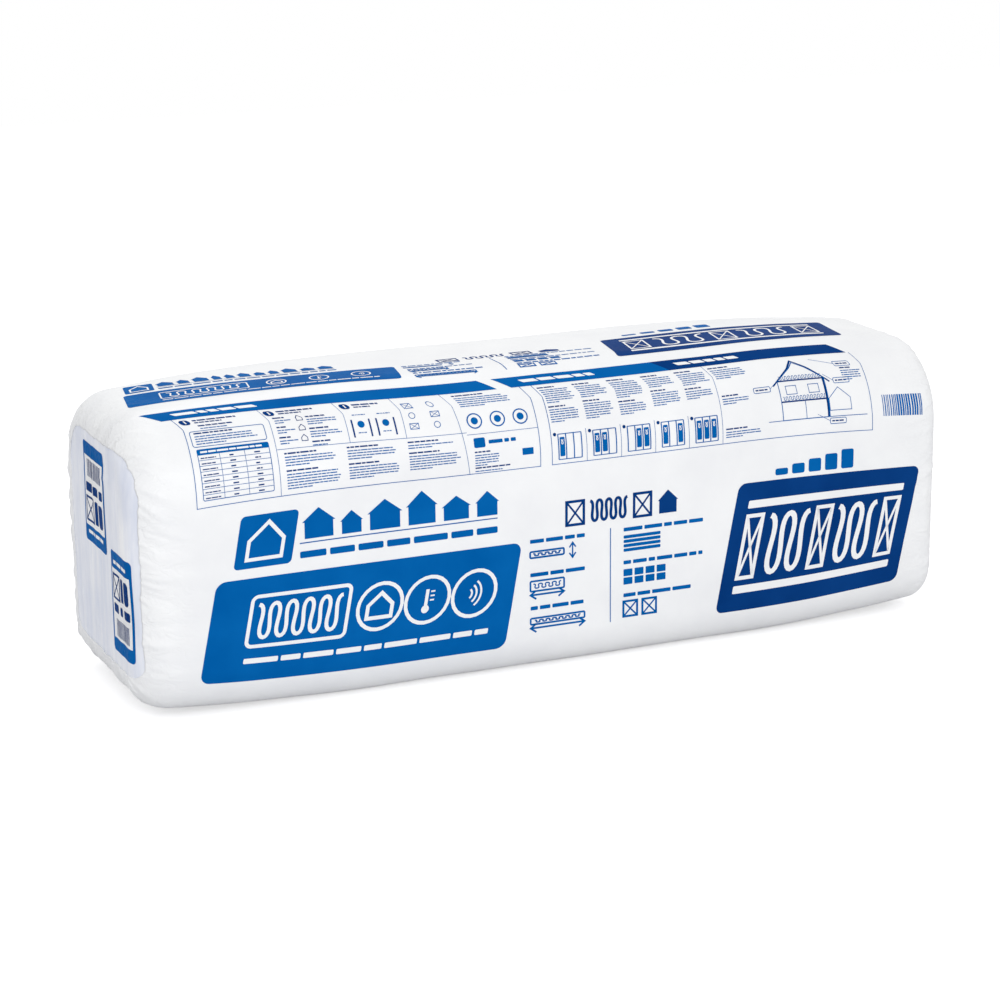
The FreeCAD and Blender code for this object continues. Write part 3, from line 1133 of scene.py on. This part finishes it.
class Nodes:
    """A material's or a world's nodes, each added and linked in one call."""

    def __init__(self, owner):
        owner.use_nodes = True
        self.owner = owner
        self.tree = owner.node_tree

    def feed(self, socket, value):
        """Links an output to a socket, or sets a plain value on the socket itself."""
        if isinstance(value, bpy.types.NodeSocket):
            self.tree.links.new(value, socket)
        else:
            socket.default_value = value

    def add(self, kind, inputs=(), **settings):
        node = self.tree.nodes.new(kind)
        for name, value in settings.items():
            setattr(node, name, value)
        for name, value in dict(inputs).items():
            self.feed(node.inputs[name], value)
        return node

    def math(self, operation, *values):
        inputs = enumerate(values)
        return self.add("ShaderNodeMath", inputs, operation=operation).outputs[0]

    def noise(self, scale, detail, stretch=(1, 1, 1), roughness=0.5, distortion=0.0):
        """Noise of so many cycles a metre, stretched along the axes."""
        place = self.add("ShaderNodeTexCoord").outputs["Object"]
        mapping = self.add("ShaderNodeMapping", {"Scale": stretch, "Vector": place})
        inputs = {"Scale": scale, "Detail": detail, "Roughness": roughness}
        inputs.update({"Distortion": distortion, "Vector": mapping.outputs[0]})
        return self.add("ShaderNodeTexNoise", inputs).outputs["Fac"]

    def between(self, factor, low, high, start=0.3, stop=0.7):
        """A colour from low to high as factor goes from start to stop."""
        ramp = self.add("ShaderNodeValToRGB", {"Fac": factor})
        ends = zip(ramp.color_ramp.elements, (start, stop), (low, high))
        for element, position, colour in ends:
            element.position = position
            element.color = colour
        return ramp.outputs["Color"]

    def spread(self, factor, low, high, start=0.25, stop=0.75):
        """A number from low to high as factor goes from start to stop."""
        inputs = {"From Min": start, "From Max": stop, "To Min": low, "To Max": high}
        return self.add("ShaderNodeMapRange", {**inputs, "Value": factor}).outputs["Result"]

    def bump(self, height, depth, strength, under=None):
        inputs = {"Height": height, "Distance": depth, "Strength": strength}
        if under is not None:
            inputs["Normal"] = under
        return self.add("ShaderNodeBump", inputs).outputs["Normal"]

    def end_wrinkles(self):
        """Sharp fine wrinkles that fade out some 90 mm from both ends."""
        place = self.add("ShaderNodeTexCoord").outputs["Object"]
        x = self.add("ShaderNodeSeparateXYZ", {"Vector": place}).outputs["X"]
        near = self.spread(self.math("ABSOLUTE", x), 0.0, 1.0, 0.505, 0.590)
        folds = self.noise(70, 2, stretch=(0.55, 1, 1), distortion=0.9)
        sharp = self.math("ABSOLUTE", self.math("SUBTRACT", folds, 0.5))
        return self.math("MULTIPLY", sharp, near)

    def set(self, sockets):
        """Sets the shader's sockets and gives back the material."""
        for name, value in sockets.items():
            self.feed(self.tree.nodes["Principled BSDF"].inputs[name], value)
        return self.owner


def new_finish(name):
    return Nodes(bpy.data.materials.new(name))


def film_finish(name, dark, light, roughness, crinkle, gloss, index=1.45):
    """Thin film or ink on it: a slightly uneven colour, gloss and fine crinkles."""
    nodes = new_finish(name)
    cloudy = nodes.noise(14, 4)
    fine = nodes.noise(180, 3, roughness=0.6)
    creased = nodes.noise(55, 2, distortion=1.2)
    normal = nodes.bump(fine, 0.00010, 0.5)
    normal = nodes.bump(creased, crinkle, 0.6, normal)
    return nodes.set({
        "Base Color": nodes.between(cloudy, linear(*dark), linear(*light)),
        "Roughness": nodes.spread(fine, roughness - 0.04, roughness + 0.06),
        "Normal": nodes.bump(nodes.end_wrinkles(), 0.0050, 0.7, normal),
        "Specular IOR Level": gloss,
        "IOR": index,
    })


def mixed_noise(nodes, fine, broad):
    """Two noises in one, with its middle near a half."""
    return nodes.math("MULTIPLY_ADD", fine, broad, 0.22)


def end_film_finish():
    """Milky lavender film over the batts' edges, with upright streaks: their darker colour is partly
    the film's own mottled tint and partly painted shade in its folds.
    """
    nodes = new_finish("end_film_finish")
    streaks = nodes.noise(60, 4, stretch=(1, 1, 0.10), roughness=0.6)
    clouds = nodes.noise(22, 3, stretch=(1, 1, 0.5))
    fine = nodes.noise(240, 3, stretch=(1, 1, 0.3))
    # Painted shade: the colour darkens with the streak noise that also sinks the bump, so the darker
    # streaks are partly painted shade of the upright folds and partly the film's mottled tint.
    colours = linear(216, 222, 238), linear(250, 251, 254)
    normal = nodes.bump(streaks, 0.00060, 0.5)
    return nodes.set({
        "Base Color": nodes.between(mixed_noise(nodes, streaks, clouds), *colours, 0.32, 0.66),
        "Roughness": nodes.spread(fine, 0.30, 0.42),
        "Normal": nodes.bump(fine, 0.00010, 0.4, normal),
    })


def wool_finish():
    """White glass wool: tangled fibres and faint layers."""
    nodes = new_finish("wool_finish")
    layers = nodes.noise(60, 5, stretch=(0.2, 3, 0.4), roughness=0.7)
    fibres = nodes.noise(520, 4, stretch=(0.25, 1, 1), roughness=0.7, distortion=0.6)
    normal = nodes.bump(fibres, 0.0008, 0.9)
    return nodes.set({
        "Base Color": nodes.between(layers, linear(226, 222, 208), linear(247, 245, 238)),
        "Roughness": nodes.spread(fibres, 0.85, 1.0),
        "Normal": nodes.bump(layers, 0.0015, 0.6, normal),
        "Sheen Weight": 0.3,
    })


def kraft_finish():
    """Brown kraft paper with its pulp fibres."""
    nodes = new_finish("kraft_finish")
    pulp = nodes.noise(220, 5, stretch=(0.4, 1, 1), roughness=0.65)
    colours = linear(150, 112, 70), linear(190, 152, 104)
    mixed = mixed_noise(nodes, pulp, nodes.noise(26, 3))
    return nodes.set({
        "Base Color": nodes.between(mixed, *colours, 0.3, 0.65),
        "Roughness": nodes.spread(pulp, 0.70, 0.85),
        "Normal": nodes.bump(pulp, 0.0002, 0.6),
    })


def paint_nodes():
    """The batts and their facings keep their CAD shapes and get their finishes."""
    wool, kraft = wool_finish(), kraft_finish()
    for name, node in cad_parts.items():
        if name.startswith(("batt_", "facing_")):
            node.data.materials.clear()
            node.data.materials.append(wool if name.startswith("batt_") else kraft)


# Stage

FLOOR_HALF = 6.0
FLOOR_GLOW = 0.52
FLOOR_COLOUR = (0.78, 0.78, 0.79, 1.0)
WHITE = (1.0, 1.0, 1.0, 1.0)
WORLD_LIGHT = 0.76
LAMP_SIZE = 2.5
LAMP_TARGET = (0, 0, 0.2)


def floor_finish():
    """A pale floor that shows white to the camera and keeps the pack's shadow."""
    nodes = new_finish("floor_finish")
    seen = nodes.add("ShaderNodeLightPath").outputs["Is Camera Ray"]
    strength = nodes.math("MULTIPLY", seen, FLOOR_GLOW)
    plain = nodes.add("ShaderNodeBsdfDiffuse", {"Color": FLOOR_COLOUR})
    glow = nodes.add("ShaderNodeEmission", {"Color": WHITE, "Strength": strength})
    total = nodes.add("ShaderNodeAddShader", {0: plain.outputs[0], 1: glow.outputs[0]})
    nodes.tree.nodes.remove(nodes.tree.nodes["Principled BSDF"])
    nodes.feed(nodes.tree.nodes["Material Output"].inputs["Surface"], total.outputs[0])
    return nodes.owner


def make_floor():
    mesh = bpy.data.meshes.new("floor")
    signs = ((-1, -1), (1, -1), (1, 1), (-1, 1))
    corners = [(FLOOR_HALF * x, FLOOR_HALF * y, 0) for x, y in signs]
    mesh.from_pydata(corners, [], [(0, 1, 2, 3)])
    mesh.materials.append(floor_finish())
    new_object("floor", mesh)


def make_world(light):
    """Even light from all sides that shows as white behind the pack."""
    world = bpy.data.worlds.new("studio")
    nodes = Nodes(world)
    rays = nodes.add("ShaderNodeLightPath").outputs
    seen = nodes.math("MAXIMUM", rays["Is Camera Ray"], rays["Is Glossy Ray"])
    seen = nodes.math("MAXIMUM", seen, rays["Is Transmission Ray"])
    background = nodes.tree.nodes["Background"]
    background.inputs["Color"].default_value = WHITE
    nodes.feed(background.inputs["Strength"], nodes.spread(seen, light, 1.0, 0.0, 1.0))
    bpy.context.scene.world = world


def make_lamp(name, place, power):
    """A large soft lamp that faces the pack."""
    data = bpy.data.lights.new(name, "AREA")
    data.shape = "SQUARE"
    data.size = LAMP_SIZE
    data.energy = power
    lamp = new_object(name, data)
    lamp.location = place
    toward = Vector(LAMP_TARGET) - Vector(place)
    lamp.rotation_euler = toward.to_track_quat("-Z", "Y").to_euler()


LENS = 97.02
SENSOR = 36.0
CAMERA_PLACE = (-1.4803, -3.3280, 1.1788)
CAMERA_AHEAD = (0.38875, 0.88381, -0.26030)
CAMERA_UP = (0.11309, 0.23461, 0.96549)


def make_camera():
    """The photo's view: long lens, a little above the pack, from its front left."""
    data = bpy.data.cameras.new("camera")
    data.lens = LENS
    data.sensor_width = SENSOR
    camera = new_object("camera", data)
    forward = Vector(CAMERA_AHEAD).normalized()
    right = forward.cross(Vector(CAMERA_UP)).normalized()
    up = right.cross(forward)
    rotation = Matrix((right, up, -forward)).transposed().to_4x4()
    camera.matrix_world = Matrix.Translation(CAMERA_PLACE) @ rotation
    bpy.context.scene.camera = camera


def make_print(sleeve_finish):
    """All the ink, and the labels on the left end's film."""
    long_face(on_front, 100)
    long_face(on_back, 300)
    top_face(on_top, 500)
    end_label(-1, (-0.052, 0.045, 0.202, 0.338), 601, True)
    end_label(-1, (0.062, 0.142, 0.081, 0.217), 602, False)
    matt = (0.42, 0.00012, 0.10, 1.12)
    mid_ink = film_finish("mid_blue_ink", (0, 90, 163), (6, 100, 174), *matt)
    navy_ink = film_finish("navy_ink", (5, 53, 116), (10, 62, 128), *matt)
    mid.piece("print_mid_blue", mid_ink, "printed_film")
    navy.piece("print_navy", navy_ink, "printed_film")
    marks.piece("print_label_marks", navy_ink, "printed_film")
    white.piece("print_white", sleeve_finish, "printed_film")


def make_pack():
    pale, paler = (238, 239, 241), (244, 245, 246)
    sleeve_finish = film_finish("film_finish", pale, paler, 0.38, 0.00020, 0.35)
    sleeve = make_sleeve(sleeve_finish)
    end_finish = end_film_finish()
    ends = [make_end_film(side, end_finish) for side in (-1, 1)]
    make_print(sleeve_finish)


make_camera()
make_pack()
paint_nodes()
make_floor()
make_world(WORLD_LIGHT)
make_lamp("key", (-0.7, -3.7, 1.6), 48)
make_lamp("top", (0.0, 1.9, 3.0), 24)

bpy.context.scene.view_settings.view_transform = "Standard"
